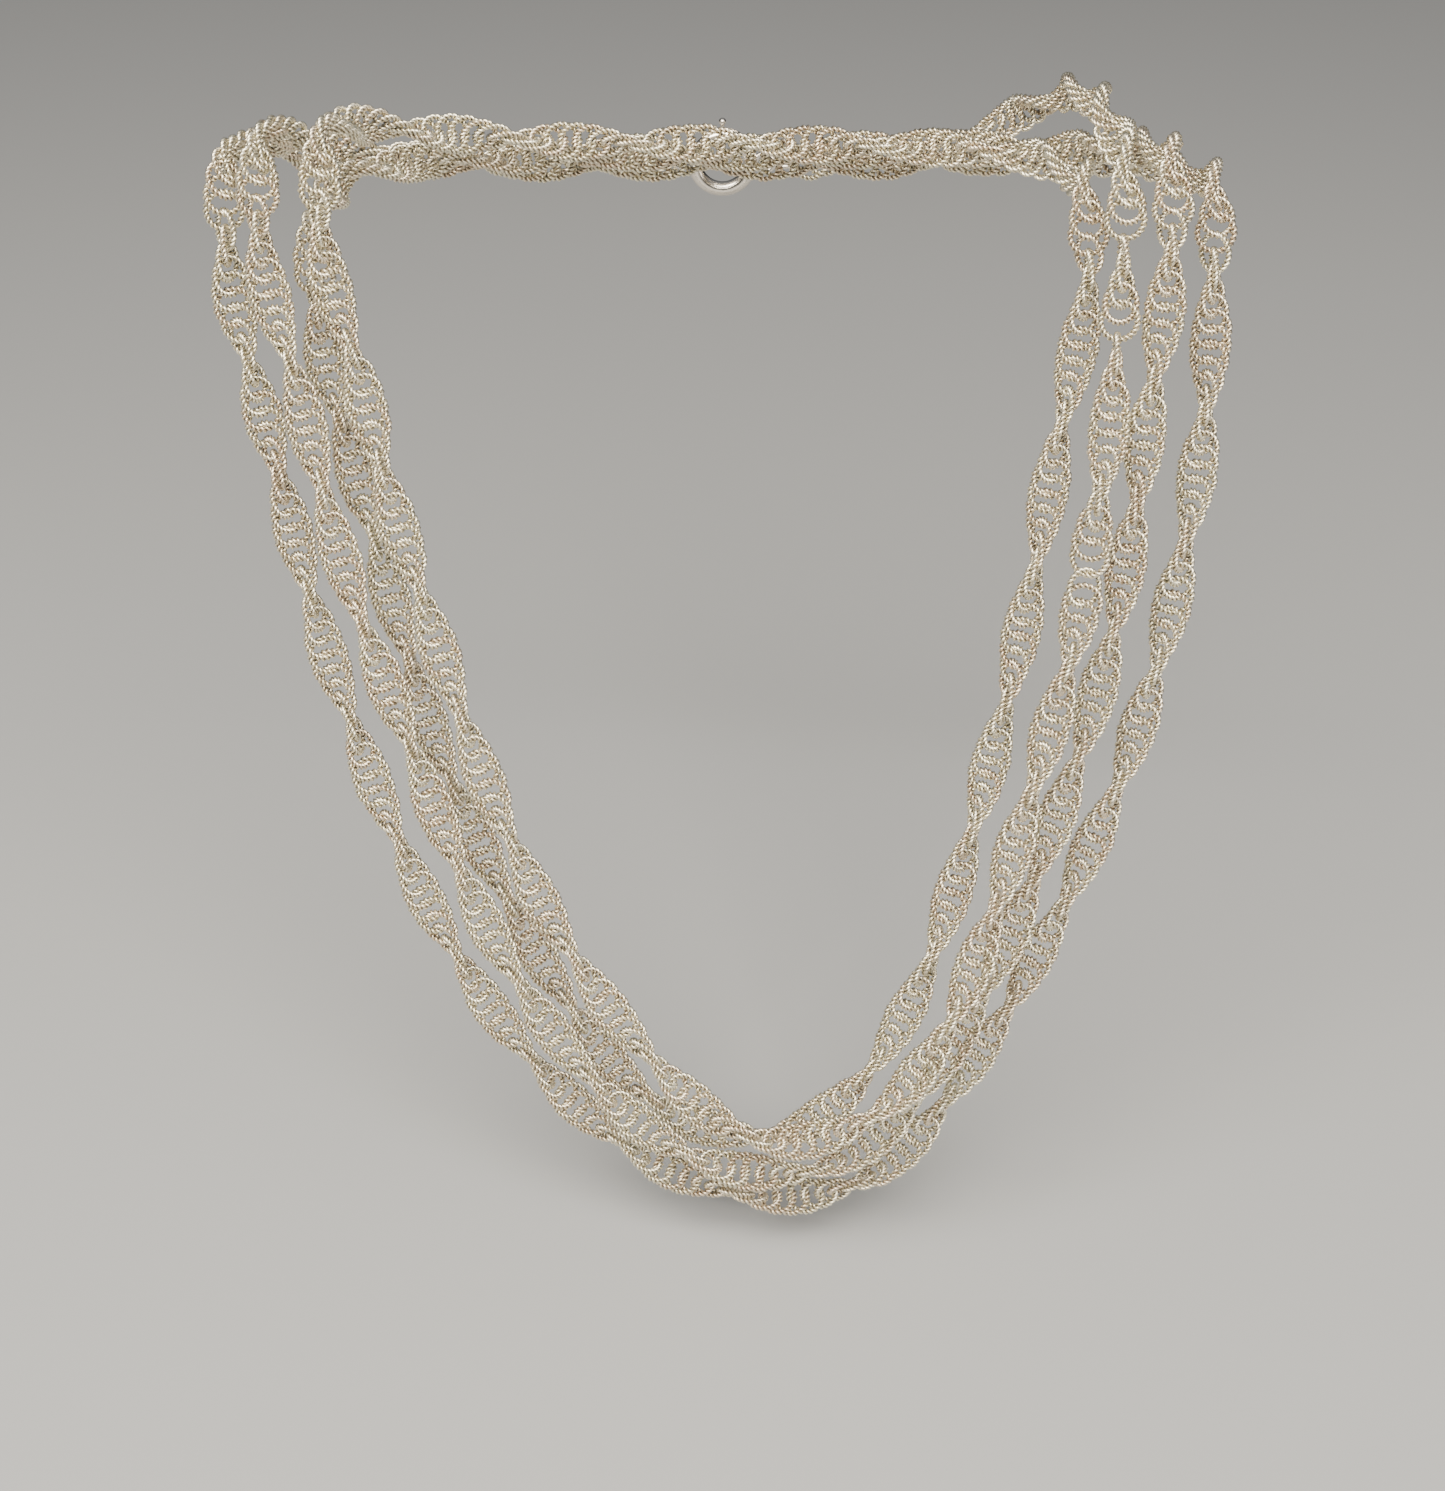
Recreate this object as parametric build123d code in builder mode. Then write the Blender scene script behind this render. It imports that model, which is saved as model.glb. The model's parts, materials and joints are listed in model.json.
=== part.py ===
from build123d import *
import math
import os

# A long necklace of spiral four-in-one rope chain, worn as four strands. Millimetres, +Z up,
# X to the wearer's left-right, -Y to the front. The origin is the middle of the neck opening,
# level with the links where the strands hang from the shoulders.

# ---- driving dimensions -------------------------------------------------------------------
RING_OD = 6.52          # over one chain ring
WIRE = 0.66             # round wire that stands for the twisted pair
RING_R = (RING_OD - WIRE) / 2
PITCH = 2.25            # ring to ring along a woven length
SLACK = 0.15            # play where one ring hangs in another
LINK_STEP = 2 * RING_R - WIRE - SLACK   # ring to ring at a plain link
HANG = RING_R - WIRE - SLACK            # ring centre to the wire that carries it
MIDDLE_UP = 0.2         # above the hanging point, the ring that closes the weave there
MIDDLE_TURN = 55.0      # degrees that it stands round from the front
CHEST_LEAN = 12.0       # degrees that the front leans back
TURN_HAND = 1           # 1 for a right-hand rope, -1 for a left-hand one
BACK_TURN = 21.5        # degrees from ring to ring in the back runs
SHOULDER_R = 7.2        # bend of the chain where it turns back over the shoulder
STEEP = (26, 52, 78)    # degrees round that bend where the line is pinned
EASY = (20, 40, 60)     # the same where the chain goes on rising, beside the clasp run

# ---- the clasp ------------------------------------------------------------------------------
CLASP_R = 4.6           # middle of the clasp tube
TUBE_R = 1.2
BORE_R = 0.95
TONGUE_R = 0.86
MOUTH = (100.0, 150.0)  # open arc, degrees from the eye
EYE_R, EYE_WIRE_R = 1.55, 0.40
JUMP_R, JUMP_WIRE_R = 2.40, 0.45
CATCH_R, CATCH_WIRE_R = 2.70, 0.50
CLASP_AT = Vector(0, 63.0, -10.0)

LEAN = math.radians(CHEST_LEAN)
ACROSS = Vector(1, 0, 0)
UP = Vector(0, math.sin(LEAN), math.cos(LEAN))
OUT = Vector(0, -math.cos(LEAN), math.sin(LEAN))

FACE, EDGE = 90, 0      # how a ring stands to the front

# Each strand from the left shoulder to the right: across, up, out from the front, and the
# way the ring there stands. A run ends where it hangs by one ring in the next run.
STRANDS = {
    "outer": [[
        (-72.3, -1.5, 0, EDGE), (-69.6, -19.6, 0, EDGE), (-66.1, -36.2, 0, EDGE),
        (-62.2, -55.0, 0, EDGE), (-56.8, -75.0, 0, EDGE), (-50.0, -95.0, 0, EDGE),
        (-41.0, -114.5, 0, EDGE), (-29.0, -132.5, 0, EDGE), (-14.5, -146.5, 0, EDGE),
        (4.5, -154.5, 0, EDGE), (23.5, -151.4, 0, EDGE), (36.5, -136.5, 0, EDGE),
        (46.0, -120.0, 0, EDGE), (54.0, -102.5, 0, EDGE), (61.5, -83.0, 0, EDGE),
        (66.4, -64.2, 0, EDGE), (69.8, -44.0, 0, EDGE), (71.6, -24.7, 0, EDGE),
        (71.7, -4.7, 0, EDGE)]],
    "second": [[
        (-66.4, 1.3, 6.0, EDGE), (-62.5, -18.5, 6.6, EDGE), (-58.8, -37.2, 6.6, EDGE),
        (-53.4, -58.0, 6.6, EDGE), (-46.8, -77.5, 6.6, EDGE), (-40.0, -97.0, 6.6, EDGE),
        (-31.0, -116.0, 6.6, EDGE), (-19.0, -133.0, 6.6, EDGE), (-3.0, -145.2, 6.6, EDGE),
        (17.0, -146.0, 6.6, EDGE), (31.5, -132.5, 6.6, EDGE), (41.2, -114.8, 6.6, EDGE),
        (48.2, -96.0, 6.6, EDGE), (54.2, -76.3, 6.6, EDGE), (58.6, -56.5, 6.6, EDGE),
        (61.0, -37.5, 6.6, EDGE), (62.8, -18.8, 6.6, EDGE), (64.4, -0.5, 6.0, EDGE)]],
    "third": [[
        (-59.3, -10.6, 0, EDGE), (-56.6, -27.8, 0, EDGE), (-52.2, -45.7, 0, EDGE),
        (-47.6, -65.1, 0, EDGE), (-41.3, -85.3, 0, EDGE), (-33.0, -104.8, 0, EDGE),
        (-23.0, -123.4, 0, EDGE), (-9.8, -138.8, 0, EDGE), (9.5, -143.6, 0, EDGE),
        (24.5, -130.8, 0, EDGE), (33.3, -111.5, 0, EDGE), (39.0, -90.6, 0, EDGE),
        (43.6, -69.6, 0, EDGE), (47.3, -48.2, 0, EDGE), (50.5, -26.6, 0, EDGE),
        (53.4, -5.0, 0, EDGE)]],
    "inner": [
        [(-57.6, 2.2, 6.0, EDGE), (-53.5, -16.3, 7.0, EDGE), (-49.7, -33.5, 8.0, EDGE),
         (-44.5, -51.9, 9.0, EDGE), (-38.8, -70.9, 10.5, EDGE), (-31.5, -90.2, 12.5, EDGE),
         (-22.0, -109.0, 13.2, EDGE), (-9.7, -126.3, 13.2, EDGE), (6.5, -138.5, 13.2, EDGE),
         (24.8, -133.0, 13.2, EDGE), (35.5, -117.0, 13.2, EDGE), (41.6, -98.5, 13.2, EDGE),
         (46.6, -79.6, 13.2, EDGE), (51.2, -60.2, 13.2, EDGE), (53.0, -49.6, 13.0, 115)],
        [(53.6, -44.9, 12.6, 65), (55.0, -35.0, 11.6, EDGE), (56.9, -15.95, 7.9, EDGE)],
        [(57.2, -11.2, 7.4, FACE), (57.6, -2.0, 6.0, EDGE)]],
}
# Where the strands' runs are parted into pieces of chain, by ring number, is even: each
# woven run is cut into this many lengths.
PIECES = {"outer": [4], "second": [4], "third": [4], "inner": [4, 1, 1]}


def on_front(across, up, out):
    return ACROSS * across + UP * up + OUT * out


def unit(v):
    return v.normalized()


def square_to(v, t):
    """The part of v that is square to t."""
    return unit(v - t * v.dot(t))


def ring_at(centre, along, normal):
    return Plane(origin=centre, x_dir=along, z_dir=normal).location


def turned(side, along, degrees):
    """side swung round the chain's own line."""
    a = math.radians(degrees)
    return side * math.cos(a) + along.cross(side) * math.sin(a)


def rings_between(path, start, end, turn_at, sides):
    """Rings from length start to length end, each with the turn that turn_at gives."""
    count = max(1, round((end - start) / PITCH))
    places = []
    for i in range(count + 1):
        s = start + (end - start) * i / count
        u = s / path.length
        centre = path.position_at(u)
        along = unit(path.tangent_at(u))
        places.append(ring_at(centre, along, turned(sides(s, along), along, turn_at(s))))
    return places


def strand_runs(runs):
    """Every ring of one strand, as one list of places per woven run."""
    stations = [p for run in runs for p in run]
    points = [on_front(*p[:3]) for p in stations]
    path = Spline(*points, tangents=(UP * -1, UP), tangent_scalars=(1, 1))
    lengths = [length_to(path, p) for p in points]
    placed = []
    k = 0
    for run in runs:
        here = lengths[k:k + len(run)]
        angles = [run[0][3]]
        for a, b in zip(run, run[1:]):
            step = (b[3] - a[3]) % 180
            angles.append(angles[-1] + (step if step > 0 else 180))
        k += len(run)

        def turn_at(s, here=here, angles=angles):
            for a, b, p, q in zip(here, here[1:], angles, angles[1:]):
                if s <= b + 1e-6:
                    return TURN_HAND * (p + (q - p) * (s - a) / (b - a))
            return TURN_HAND * angles[-1]

        def sides(s, along):
            return square_to(OUT, along).cross(along)

        placed.append(rings_between(path, here[0], here[-1], turn_at, sides))
    return placed, path


def length_to(path, point):
    """Length along the path to a point on it: a coarse look, then ever finer steps."""
    looks = 600
    apart, u = min(((path.position_at(i / looks) - point).length, i / looks)
                   for i in range(looks + 1))
    step = 1 / looks
    while step > 1e-6:
        step /= 2
        for v in (u - step, u + step):
            if 0 <= v <= 1 and (path.position_at(v) - point).length < apart:
                apart, u = (path.position_at(v) - point).length, v
    return u * path.length


def back_rings(path, start_side, end_side, start_turn=FACE, end_turn=FACE):
    """Rings along a run behind the neck. The side is carried along without twisting, and
    the rope's own turn is trimmed so that the last ring stands as asked."""
    steps = max(40, int(path.length / 0.5))
    count = max(2, round(path.length / PITCH))
    side = square_to(start_side, unit(path.tangent_at(0)))
    frames = [side]
    for i in range(1, steps + 1):
        side = square_to(side, unit(path.tangent_at(i / steps)))
        frames.append(side)
    t1 = unit(path.tangent_at(1))
    want = square_to(end_side, t1)
    off = math.degrees(math.atan2(frames[-1].cross(want).dot(t1), frames[-1].dot(want)))
    whole = TURN_HAND * BACK_TURN * count
    need = off + end_turn - start_turn
    need += 180 * round((whole - need) / 180)
    places = []
    for i in range(count + 1):
        u = i / count
        along = unit(path.tangent_at(u))
        side = square_to(frames[round(u * steps)], along)
        turn = start_turn + need * u
        places.append(ring_at(path.position_at(u), along, turned(side, along, turn)))
    return places


def over_shoulder(foot, up, angles=STEEP):
    """Points where the chain bends back over the shoulder, from straight up at its foot."""
    back = square_to(Vector(0, 1, 0), up)
    return [foot + up * (SHOULDER_R * math.sin(math.radians(a)))
            + back * (SHOULDER_R * (1 - math.cos(math.radians(a)))) for a in angles]


# ---- lay out every ring ---------------------------------------------------------------------
nodes = {}      # name of the piece of chain: places of its rings
hinges = {}     # strand: its two hanging points
for name, runs in STRANDS.items():
    placed, path = strand_runs(runs)
    left = on_front(*runs[0][0][:3]) + UP * HANG
    right = on_front(*runs[-1][-1][:3]) + UP * HANG
    hinges[name] = (left, right)
    nodes[f"{name}_strand_hook_rings"] = [placed[0][0], placed[-1][-1]]
    placed[0] = placed[0][1:]
    placed[-1] = placed[-1][:-1]
    for number, (run, parts) in enumerate(zip(placed, PIECES[name])):
        for j in range(parts):
            a = len(run) * j // parts
            b = len(run) * (j + 1) // parts
            letter = "abcdefgh"[j + sum(PIECES[name][:number])]
            nodes[f"{name}_strand_run_{letter}"] = run[a:b]

# At each shoulder the strand's hook ring hangs in a ring that faces the front. A third ring
# between them closes the weave, except at the inner strand's right end, which is an open link.
for name, (left, right) in hinges.items():
    axis = unit(right - left)
    up = square_to(UP, axis)
    face = up.cross(axis)
    nodes[f"{name}_shoulder_rings"] = [ring_at(h + up * RING_R, up, face) for h in (left, right)]
    between = turned(face, up * -TURN_HAND, MIDDLE_TURN)
    woven = (left,) if name == "inner" else (left, right)
    nodes[f"{name}_shoulder_rings"] += [
        ring_at(h + up * MIDDLE_UP, up, between) for h in woven]

# Runs behind the neck, each from a right shoulder to the next strand's left shoulder.
BACK = {
    "outer_to_second": ("outer", "second", [
        (71.0, 12.0, 4.8), (69.6, 20.0, 3.4), (66.5, 29.0, 1.0), (56.0, 42.0, -2.0),
        (34.0, 50.5, -5.5), (0.0, 52.5, -6.5), (-34.0, 50.5, -6.0), (-55.0, 42.0, -2.0),
        (-64.0, 29.0, 4.0), (-66.0, 17.0, 9.5), (-66.4, 8.0, 12.0)]),
    "second_to_third": ("second", "third", [
        (64.3, 7.5, 10.3), (63.4, 16.0, 8.0), (60.0, 27.0, 4.0), (48.5, 39.5, 0.0),
        (28.0, 45.5, -2.0), (0.0, 46.5, -3.0), (-30.0, 44.5, -2.5), (-49.0, 36.5, -1.5),
        (-57.6, 25.0, 0.0), (-59.4, 14.0, 0.0)]),
    "third_to_inner": ("third", "inner", [
        (52.8, 13.0, 4.4), (49.0, 25.0, 3.0), (39.0, 34.5, 1.5), (22.0, 39.5, 0.5),
        (0.0, 40.5, 0.5), (-24.0, 38.5, 1.5), (-42.0, 33.0, 4.5), (-52.0, 23.5, 8.5),
        (-56.4, 14.0, 12.0), (-57.5, 8.0, 13.0)]),
}
for name, (start, end, points) in BACK.items():
    axis0 = unit(hinges[start][1] - hinges[start][0])
    axis1 = unit(hinges[end][1] - hinges[end][0])
    up0 = square_to(UP, axis0)
    up1 = square_to(UP, axis1)
    a = hinges[start][1] + up0 * RING_R
    b = hinges[end][0] + up1 * RING_R
    path = Spline(a, *over_shoulder(a, up0), *[Vector(*p) for p in points],
                  *reversed(over_shoulder(b, up1)), b,
                  tangents=(up0, up1 * -1), tangent_scalars=(1, 1))
    run = back_rings(path, axis0, axis1)[1:-1]
    half = len(run) // 2
    nodes[f"back_{name}_right"] = run[:half]
    nodes[f"back_{name}_left"] = run[half:]

# The last run carries the clasp in its middle.
EYE_X = CLASP_R + TUBE_R + 1.35
JUMP_X = EYE_X + EYE_R - EYE_WIRE_R - JUMP_WIRE_R - 0.1 + JUMP_R
END_RING_X = JUMP_X + JUMP_R - JUMP_WIRE_R - WIRE / 2 - 0.1 + RING_R
CATCH_X = -CLASP_R + TUBE_R + CATCH_WIRE_R + 0.1 - CATCH_R
LAST_RING_X = CATCH_X - CATCH_R + CATCH_WIRE_R + WIRE / 2 + 0.1 - RING_R
BACKWARD = Vector(0, 1, 0)
axis0 = unit(hinges["inner"][1] - hinges["inner"][0])
axis1 = unit(hinges["outer"][1] - hinges["outer"][0])
up0 = square_to(UP, axis0)
up1 = square_to(UP, axis1)
right_end = CLASP_AT + ACROSS * END_RING_X
left_end = CLASP_AT + ACROSS * LAST_RING_X
foot = hinges["inner"][1] + up0 * RING_R
path = Spline(
    foot, *over_shoulder(foot, up0, EASY), Vector(57.5, 6.0, 12.2),
    Vector(57.0, 15.0, 13.2), Vector(56.0, 28.0, 12.0), Vector(53.5, 41.0, 8.5),
    Vector(48.0, 53.0, 1.5), Vector(36.0, 60.5, -6.0), right_end,
    tangents=(up0, ACROSS * -1), tangent_scalars=(1, 1))
run = back_rings(path, axis0, BACKWARD, FACE, EDGE)[1:]
nodes["back_clasp_run_right"] = run
foot = hinges["outer"][0] + up1 * RING_R
path = Spline(
    left_end,
    Vector(-30.0, 61.5, -9.5), Vector(-50.0, 55.0, -7.5), Vector(-64.5, 43.0, -3.0),
    Vector(-71.0, 30.0, 3.0), Vector(-72.4, 19.0, 6.0), Vector(-72.5, 12.0, 7.5),
    *reversed(over_shoulder(foot, up1)), foot, tangents=(ACROSS * -1, up1 * -1),
    tangent_scalars=(1, 1))
run = back_rings(path, BACKWARD, axis1, EDGE, FACE)[:-1]
nodes["back_clasp_run_left"] = run

# ---- the chain ring, and every length of chain -----------------------------------------------
with BuildPart() as ring:
    Torus(RING_R, WIRE / 2)

os.makedirs("parts", exist_ok=True)
for name, places in nodes.items():
    length = Compound(label=name, children=[ring.part.moved(p) for p in places])
    export_step(length, f"parts/{name}.step")

# ---- the spring-ring clasp ---------------------------------------------------------------------
# Its plane stands upright behind the neck: X towards the eye, angles turn from the eye
# over the top.
CLASP_PLANE = Plane(origin=CLASP_AT, x_dir=(1, 0, 0), z_dir=(0, -1, 0))


def spoke(degrees):
    """The plane across the clasp's tube at an angle, with x pointing out from the centre."""
    a = math.radians(degrees)
    d = CLASP_PLANE.x_dir * math.cos(a) + CLASP_PLANE.y_dir * math.sin(a)
    return Plane(origin=CLASP_AT + d * CLASP_R, x_dir=d, z_dir=d.cross(CLASP_PLANE.z_dir))


CLASP_AXIS = Axis(CLASP_AT, CLASP_PLANE.z_dir)

with BuildPart() as clasp_barrel:
    with BuildSketch(spoke(MOUTH[1])):
        Circle(TUBE_R)
    revolve(axis=CLASP_AXIS, revolution_arc=360 - MOUTH[1] + MOUTH[0])
    with Locations(Location(CLASP_AT + ACROSS * EYE_X, (90, 0, 0))):
        Torus(EYE_R, EYE_WIRE_R)
    with BuildSketch(spoke(MOUTH[1])):
        Circle(BORE_R)
    revolve(axis=CLASP_AXIS, revolution_arc=360 - MOUTH[1] + MOUTH[0], mode=Mode.SUBTRACT)
    with BuildSketch(spoke(34)):
        with Locations((TUBE_R, 0)):
            Rectangle(2 * TUBE_R, 0.9)
    revolve(axis=CLASP_AXIS, revolution_arc=62, mode=Mode.SUBTRACT)
clasp_barrel.part.label = "clasp_barrel"
export_step(clasp_barrel.part, "parts/clasp_barrel.step")

with BuildPart() as clasp_tongue:
    with BuildSketch(spoke(62)):
        Circle(TONGUE_R)
    revolve(axis=CLASP_AXIS, revolution_arc=96)
    with BuildSketch(Plane(origin=spoke(90).origin, z_dir=spoke(90).x_dir)):
        Circle(0.35)
    extrude(amount=2.3)
    with Locations(spoke(90).origin + spoke(90).x_dir * 2.3):
        Sphere(0.6)
clasp_tongue.part.label = "clasp_tongue"
export_step(clasp_tongue.part, "parts/clasp_tongue.step")

SPRING_TURNS = 14
with BuildPart() as clasp_spring:
    with BuildLine() as coil:
        beads = []
        for i in range(SPRING_TURNS * 8 + 1):
            at = spoke(60.0 - 122.0 * i / (SPRING_TURNS * 8))
            swing = math.radians(45.0 * i)
            out = at.x_dir * (0.62 * math.cos(swing)) + at.y_dir * (0.62 * math.sin(swing))
            beads.append(at.origin + out)
        Spline(*beads)
    with BuildSketch(Plane(origin=coil.line @ 0, z_dir=coil.line % 0)):
        Circle(0.12)
    sweep(path=coil.line)
clasp_spring.part.label = "clasp_spring"
export_step(clasp_spring.part, "parts/clasp_spring.step")

with BuildPart() as jump_ring:
    with Locations(Location(CLASP_AT + ACROSS * JUMP_X)):
        Torus(JUMP_R, JUMP_WIRE_R)
jump_ring.part.label = "jump_ring"
export_step(jump_ring.part, "parts/jump_ring.step")

with BuildPart() as catch_ring:
    with Locations(Location(CLASP_AT + ACROSS * CATCH_X)):
        Torus(CATCH_R, CATCH_WIRE_R)
catch_ring.part.label = "catch_ring"
export_step(catch_ring.part, "parts/catch_ring.step")

print({n: len(p) for n, p in nodes.items()}, sum(len(p) for p in nodes.values()))
for name, (left, right) in hinges.items():
    print(name, [round(v, 3) for v in left], [round(v, 3) for v in right])
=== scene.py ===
import bpy
import json
import math
import random
import numpy as np
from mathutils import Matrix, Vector


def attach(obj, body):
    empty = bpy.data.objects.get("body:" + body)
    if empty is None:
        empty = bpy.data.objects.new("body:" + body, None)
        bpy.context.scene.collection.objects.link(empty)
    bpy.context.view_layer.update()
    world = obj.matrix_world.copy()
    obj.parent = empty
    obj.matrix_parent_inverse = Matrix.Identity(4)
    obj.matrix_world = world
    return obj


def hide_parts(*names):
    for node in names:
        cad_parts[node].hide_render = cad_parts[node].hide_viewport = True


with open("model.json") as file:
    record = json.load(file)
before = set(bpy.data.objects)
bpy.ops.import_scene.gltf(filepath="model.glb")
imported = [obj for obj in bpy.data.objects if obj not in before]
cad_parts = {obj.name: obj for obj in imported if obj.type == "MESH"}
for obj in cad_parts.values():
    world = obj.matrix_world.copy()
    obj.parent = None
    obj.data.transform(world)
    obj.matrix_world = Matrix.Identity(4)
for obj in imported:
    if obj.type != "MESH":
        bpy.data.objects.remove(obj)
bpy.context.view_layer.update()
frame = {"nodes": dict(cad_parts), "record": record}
record = frame["record"]
body_of_node = {n: b for b, ns in record["behaviour"]["bodies"].items() for n in ns}
slot_of_node = {s["node"]: s["material_slot"] for s in record["subparts"]}

MM = 0.001

# A chain ring is two wires twisted together.
RING_R = 2.70 * MM       # centre of the ring to the middle of the twisted wire
STRAND_R = 0.275 * MM    # radius of one of the two wires
STRAND_OFF = 0.240 * MM  # from the twisted wire's middle to each wire's middle
TURNS = 11               # turns of the twist in one ring
STEPS = 9 * TURNS        # cross-sections round one ring
LAY = -1                 # the way the two wires are twisted
OVER_WIRE = (-68.0, -47.0, -24.0, 0.0, 24.0, 47.0, 68.0)  # section points, degrees from a crest
GROOVE_AT = 90.0         # degrees from a crest to the groove between the wires
GROOVE_EDGE = 1.3        # how closely the tarnish and painted shade keep to the groove

# No two rings lie quite alike.
LEAN_SPREAD = 0.033      # how far a ring's axis leans from its place in the weave
SHIFT = 0.07 * MM        # how far a ring lies off its even place
TINT_BIAS = 1.6          # above 1, fewer rings are near the warmer tint
SEED = 7

SAME_POINT = 1e7         # steps to a metre, within which two CAD points are one

# The chest leans back, so the strands hang down a slope.
CHEST_LEAN = math.radians(12)
UP = Vector((0, math.sin(CHEST_LEAN), math.cos(CHEST_LEAN)))
OUT = Vector((0, -math.cos(CHEST_LEAN), math.sin(CHEST_LEAN)))

CAMERA_TILT = math.radians(18)  # looking down on the chest
CAMERA_AWAY = 0.440
CAMERA_AIM = -0.078             # up the chest from the shoulder links
SENSOR = 36.0                   # millimetres
LENS = 69.05433                 # millimetres

FLOOR_HALF = 6.0
FLOOR_Z = -0.162                # a little below the lowest rings
LAMPS_AIM = Vector((0, 0, -0.06))


# ---- materials ------------------------------------------------------------------------------
def metal(name, colour, roughness):
    material = bpy.data.materials.new(name)
    material.use_nodes = True
    shader = material.node_tree.nodes["Principled BSDF"]
    shader.inputs["Metallic"].default_value = 1.0
    shader.inputs["Roughness"].default_value = roughness
    shader.inputs["Base Color"].default_value = (*colour, 1)
    return material


def chain_metal():
    """Silver-tone wire: brighter on the crests, darkened in the groove between the wires partly
    by tarnish and partly by painted shade.
    """
    material = metal("chain_wire", (0.84, 0.76, 0.66), 0.30)
    tree = material.node_tree
    shader = tree.nodes["Principled BSDF"]
    groove = tree.nodes.new("ShaderNodeAttribute")
    groove.attribute_name = "groove"
    tint = tree.nodes.new("ShaderNodeAttribute")
    tint.attribute_name = "tint"
    wire = tree.nodes.new("ShaderNodeMix")
    wire.data_type = "RGBA"
    wire.inputs["A"].default_value = (0.97, 0.91, 0.70, 1)
    wire.inputs["B"].default_value = (0.89, 0.76, 0.58, 1)
    tree.links.new(tint.outputs["Fac"], wire.inputs["Factor"])
    # Painted shade with tarnish: the groove between the wires is darkened in the base colour,
    # partly for tarnish and partly for the shade that falls in it.
    tarnish_and_painted_shade = tree.nodes.new("ShaderNodeMix")
    tarnish_and_painted_shade.data_type = "RGBA"
    tarnish_and_painted_shade.inputs["B"].default_value = (0.085, 0.055, 0.042, 1)
    tree.links.new(wire.outputs["Result"], tarnish_and_painted_shade.inputs["A"])
    tree.links.new(groove.outputs["Fac"], tarnish_and_painted_shade.inputs["Factor"])
    tree.links.new(tarnish_and_painted_shade.outputs["Result"], shader.inputs["Base Color"])
    rough = tree.nodes.new("ShaderNodeMapRange")
    rough.inputs["To Min"].default_value = 0.34
    rough.inputs["To Max"].default_value = 0.55
    tree.links.new(groove.outputs["Fac"], rough.inputs["Value"])
    tree.links.new(rough.outputs["Result"], shader.inputs["Roughness"])
    return material


looks = {
    "chain_wire": chain_metal(),
    "plain_rings": metal("plain_rings", (0.84, 0.78, 0.69), 0.22),
    "clasp_shell": metal("clasp_shell", (0.83, 0.77, 0.68), 0.24),
    "clasp_tongue": metal("clasp_tongue", (0.80, 0.74, 0.66), 0.26),
    "spring_steel": metal("spring_steel", (0.45, 0.45, 0.46), 0.35),
}


# ---- where each ring of a piece of chain is ---------------------------------------------------
def mesh_points(mesh):
    """The points of a mesh, and the number of its point at each triangle's corners."""
    points = np.zeros(len(mesh.vertices) * 3, np.float64)
    mesh.vertices.foreach_get("co", points)
    mesh.calc_loop_triangles()
    corners = np.zeros(len(mesh.loop_triangles) * 3, np.int64)
    mesh.loop_triangles.foreach_get("vertices", corners)
    return points.reshape(-1, 3), corners.reshape(-1, 3)


def rings_in(piece):
    """Centre and axis of each separate ring in a CAD node."""
    points, triangles = mesh_points(piece.data)
    keys = np.round(points * SAME_POINT).astype(np.int64)
    keys, number = np.unique(keys, axis=0, return_inverse=True)
    points = keys / SAME_POINT
    triangles = number.reshape(-1)[triangles]

    # Points joined by triangles end with the same label, the lowest among them.
    label = np.arange(len(points))
    while True:
        lowest = label[triangles].min(axis=1)
        new = label.copy()
        for corner in range(3):
            np.minimum.at(new, triangles[:, corner], lowest)
        new = new[new]
        if (new == label).all():
            break
        label = new

    rings = []
    for each in np.unique(label[triangles[:, 0]]):
        on_ring = points[label == each]
        centre = on_ring.mean(axis=0)
        spread, directions = np.linalg.eigh(np.cov((on_ring - centre).T))
        rings.append((centre, directions[:, 0]))
    return rings


# ---- one ring of two wires twisted together --------------------------------------------------
# The section is the outline of the two wires side by side, with a point in each groove.
section = []
for crest in (0.0, 180.0):
    section += [crest + a for a in OVER_WIRE]
    section.append(crest + GROOVE_AT)
section = np.radians(section)
reach = STRAND_OFF * np.abs(np.cos(section)) + np.sqrt(
    STRAND_R ** 2 - (STRAND_OFF * np.sin(section)) ** 2)
crest_reach = STRAND_OFF + STRAND_R
depth = (crest_reach - reach) / (crest_reach - reach.min())
# The groove mask darkens the colour there, partly as tarnish and partly as painted shade.
grooved = np.clip(depth, 0, 1) ** GROOVE_EDGE


def ring_points(centre, axis, phase, lean, shift):
    """The surface points of one ring, section by section."""
    axis = axis / np.linalg.norm(axis) + lean
    axis /= np.linalg.norm(axis)
    centre = centre + shift
    across = np.cross(axis, (1, 0, 0) if abs(axis[0]) < 0.8 else (0, 1, 0))
    across /= np.linalg.norm(across)
    along = np.cross(axis, across)
    t = np.arange(STEPS) * 2 * math.pi / STEPS
    radial = np.cos(t)[:, None] * across + np.sin(t)[:, None] * along
    wire = centre + RING_R * radial
    swing = section[None, :] + (LAY * TURNS * t + phase)[:, None]
    points = (wire[:, None, :]
              + (reach * np.cos(swing))[:, :, None] * radial[:, None, :]
              + (reach * np.sin(swing))[:, :, None] * axis[None, None, :])
    return points.reshape(-1, 3)


def ring_faces():
    """Four-sided faces between each section of a ring and the next."""
    count = len(section)
    here = np.arange(STEPS)[:, None] * count
    following = (np.arange(STEPS)[:, None] + 1) % STEPS * count
    point = np.arange(count)[None, :]
    beside = (point + 1) % count
    corners = [here + point, following + point, following + beside, here + beside]
    return np.stack(corners, axis=-1).reshape(-1, 4)


def add_values(mesh, name, values):
    attribute = mesh.attributes.new(name, "FLOAT", "POINT")
    attribute.data.foreach_set("value", values.astype(np.float32))


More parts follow.
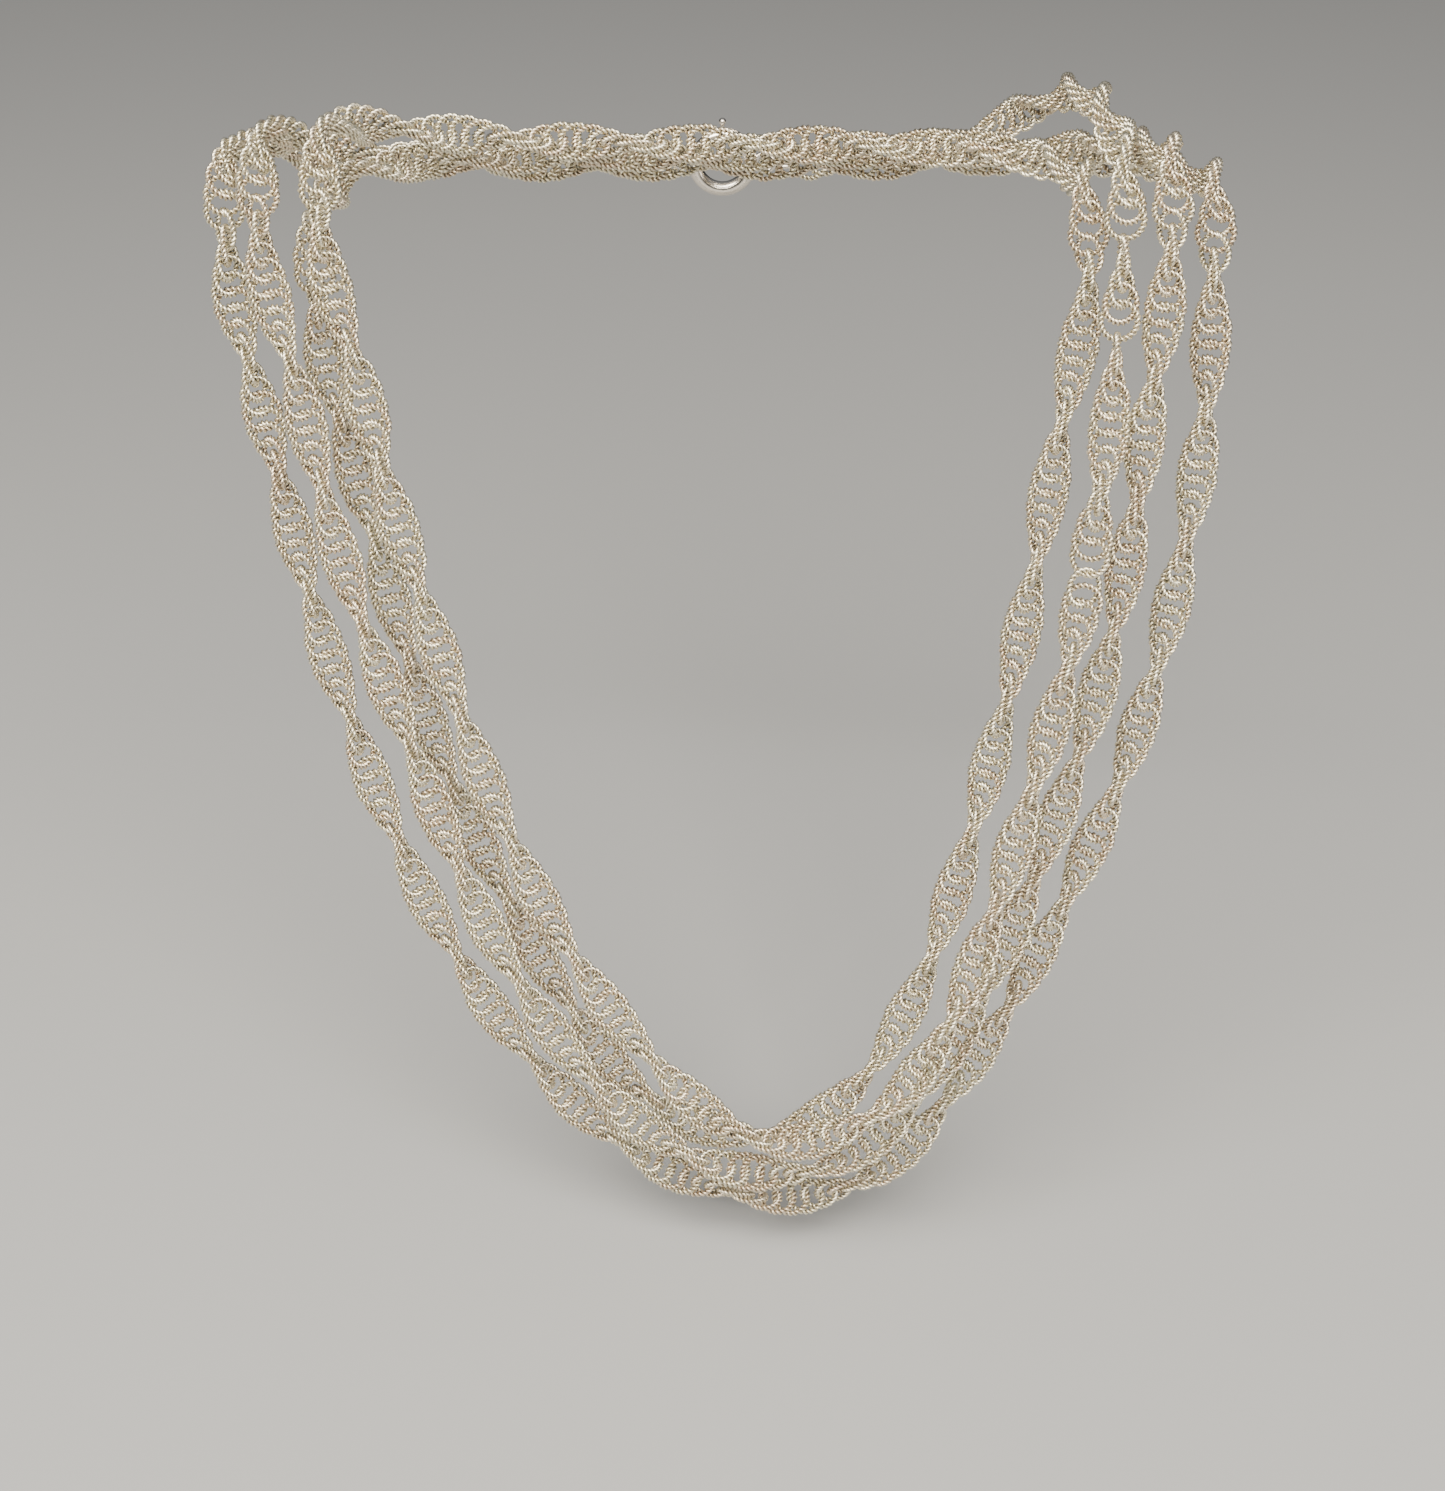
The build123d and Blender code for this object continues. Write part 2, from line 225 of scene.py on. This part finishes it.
def twisted_chain(name, rings, rnd, material):
    one_ring = ring_faces()
    per_ring = STEPS * len(section)
    points = []
    faces = []
    tints = []
    for number, (centre, axis) in enumerate(rings):
        phase = rnd.uniform(0, 2 * math.pi)
        lean = np.array([rnd.gauss(0, LEAN_SPREAD) for axis_number in range(3)])
        shift = np.array([rnd.uniform(-SHIFT, SHIFT) for axis_number in range(3)])
        points.append(ring_points(centre, axis, phase, lean, shift))
        faces.append(one_ring + number * per_ring)
        tints.append(np.full(per_ring, rnd.random() ** TINT_BIAS))
    points = np.concatenate(points)
    faces = np.concatenate(faces)

    mesh = bpy.data.meshes.new(name)
    mesh.vertices.add(len(points))
    mesh.vertices.foreach_set("co", points.astype(np.float32).ravel())
    mesh.loops.add(faces.size)
    mesh.loops.foreach_set("vertex_index", faces.astype(np.int32).ravel())
    mesh.polygons.add(len(faces))
    mesh.polygons.foreach_set("loop_start", np.arange(0, faces.size, 4, dtype=np.int32))
    mesh.update(calc_edges=True)
    mesh.validate()
    mesh.shade_smooth()
    # The groove mask darkens the colour as tarnish and painted shade, and roughens the surface.
    add_values(mesh, "groove", np.tile(grooved, STEPS * len(rings)))
    add_values(mesh, "tint", np.concatenate(tints))
    mesh.materials.append(material)
    piece = bpy.data.objects.new(name, mesh)
    bpy.context.scene.collection.objects.link(piece)
    return piece


# ---- every piece ------------------------------------------------------------------------------
rnd = random.Random(SEED)
for name in sorted(frame["nodes"]):
    piece = frame["nodes"][name]
    slot = slot_of_node[name]
    if slot == "chain_wire":
        links = twisted_chain(name + "_links", rings_in(piece), rnd, looks[slot])
        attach(links, body_of_node[name])
        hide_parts(name)
    else:
        piece.data.materials.clear()
        piece.data.materials.append(looks[slot])
        for polygon in piece.data.polygons:
            polygon.use_smooth = True


# ---- floor, light, camera ---------------------------------------------------------------------
def plain_floor():
    mesh = bpy.data.meshes.new("floor")
    half = FLOOR_HALF
    corners = [(-half, -half, FLOOR_Z), (half, -half, FLOOR_Z),
               (half, half, FLOOR_Z), (-half, half, FLOOR_Z)]
    mesh.from_pydata(corners, [], [(0, 1, 2, 3)])
    floor = bpy.data.objects.new("floor", mesh)
    bpy.context.scene.collection.objects.link(floor)
    material = bpy.data.materials.new("floor")
    material.use_nodes = True
    shader = material.node_tree.nodes["Principled BSDF"]
    shader.inputs["Base Color"].default_value = (0.36, 0.36, 0.355, 1)
    shader.inputs["Roughness"].default_value = 0.8
    mesh.materials.append(material)
    return floor


def studio_world():
    """Soft light that is brighter from above."""
    world = bpy.data.worlds.new("studio")
    bpy.context.scene.world = world
    world.use_nodes = True
    tree = world.node_tree
    where = tree.nodes.new("ShaderNodeTexCoord")
    split = tree.nodes.new("ShaderNodeSeparateXYZ")
    ramp = tree.nodes.new("ShaderNodeValToRGB")
    tree.links.new(where.outputs["Generated"], split.inputs["Vector"])
    height = tree.nodes.new("ShaderNodeMapRange")
    height.inputs["From Min"].default_value = -1.0
    tree.links.new(split.outputs["Z"], height.inputs["Value"])
    tree.links.new(height.outputs["Result"], ramp.inputs["Fac"])
    tree.links.new(ramp.outputs["Color"], tree.nodes["Background"].inputs["Color"])
    low, high = ramp.color_ramp.elements
    low.position = 0.55
    low.color = (0.02, 0.02, 0.022, 1)
    high.position = 0.9
    high.color = (0.40, 0.42, 0.46, 1)
    tree.nodes["Background"].inputs["Strength"].default_value = 0.6


def area(name, at, size, power, colour):
    """A rectangular lamp that points at the strands."""
    lamp = bpy.data.lights.new(name, "AREA")
    lamp.shape = "RECTANGLE"
    lamp.size, lamp.size_y = size
    lamp.energy = power
    lamp.color = colour
    holder = bpy.data.objects.new(name, lamp)
    bpy.context.scene.collection.objects.link(holder)
    holder.location = at
    holder.rotation_mode = "QUATERNION"
    holder.rotation_quaternion = (LAMPS_AIM - Vector(at)).to_track_quat("-Z", "Y")


def front_camera():
    lens = bpy.data.cameras.new("camera")
    camera = bpy.data.objects.new("camera", lens)
    bpy.context.scene.collection.objects.link(camera)
    bpy.context.scene.camera = camera
    back = (OUT * math.cos(CAMERA_TILT) + UP * math.sin(CAMERA_TILT)).normalized()
    camera.location = UP * CAMERA_AIM + back * CAMERA_AWAY
    camera.rotation_mode = "QUATERNION"
    camera.rotation_quaternion = (-back).to_track_quat("-Z", "Y")
    lens.sensor_width = SENSOR
    lens.lens = LENS
    lens.clip_start = 0.01
    lens.clip_end = 50
    lens.dof.use_dof = False


plain_floor()
studio_world()
area("key", (-0.12, -0.62, 0.60), (1.0, 0.6), 32, (1.0, 0.95, 0.86))
area("fill", (0.75, -0.45, 0.15), (0.3, 0.3), 2.0, (1.0, 0.94, 0.90))
front_camera()
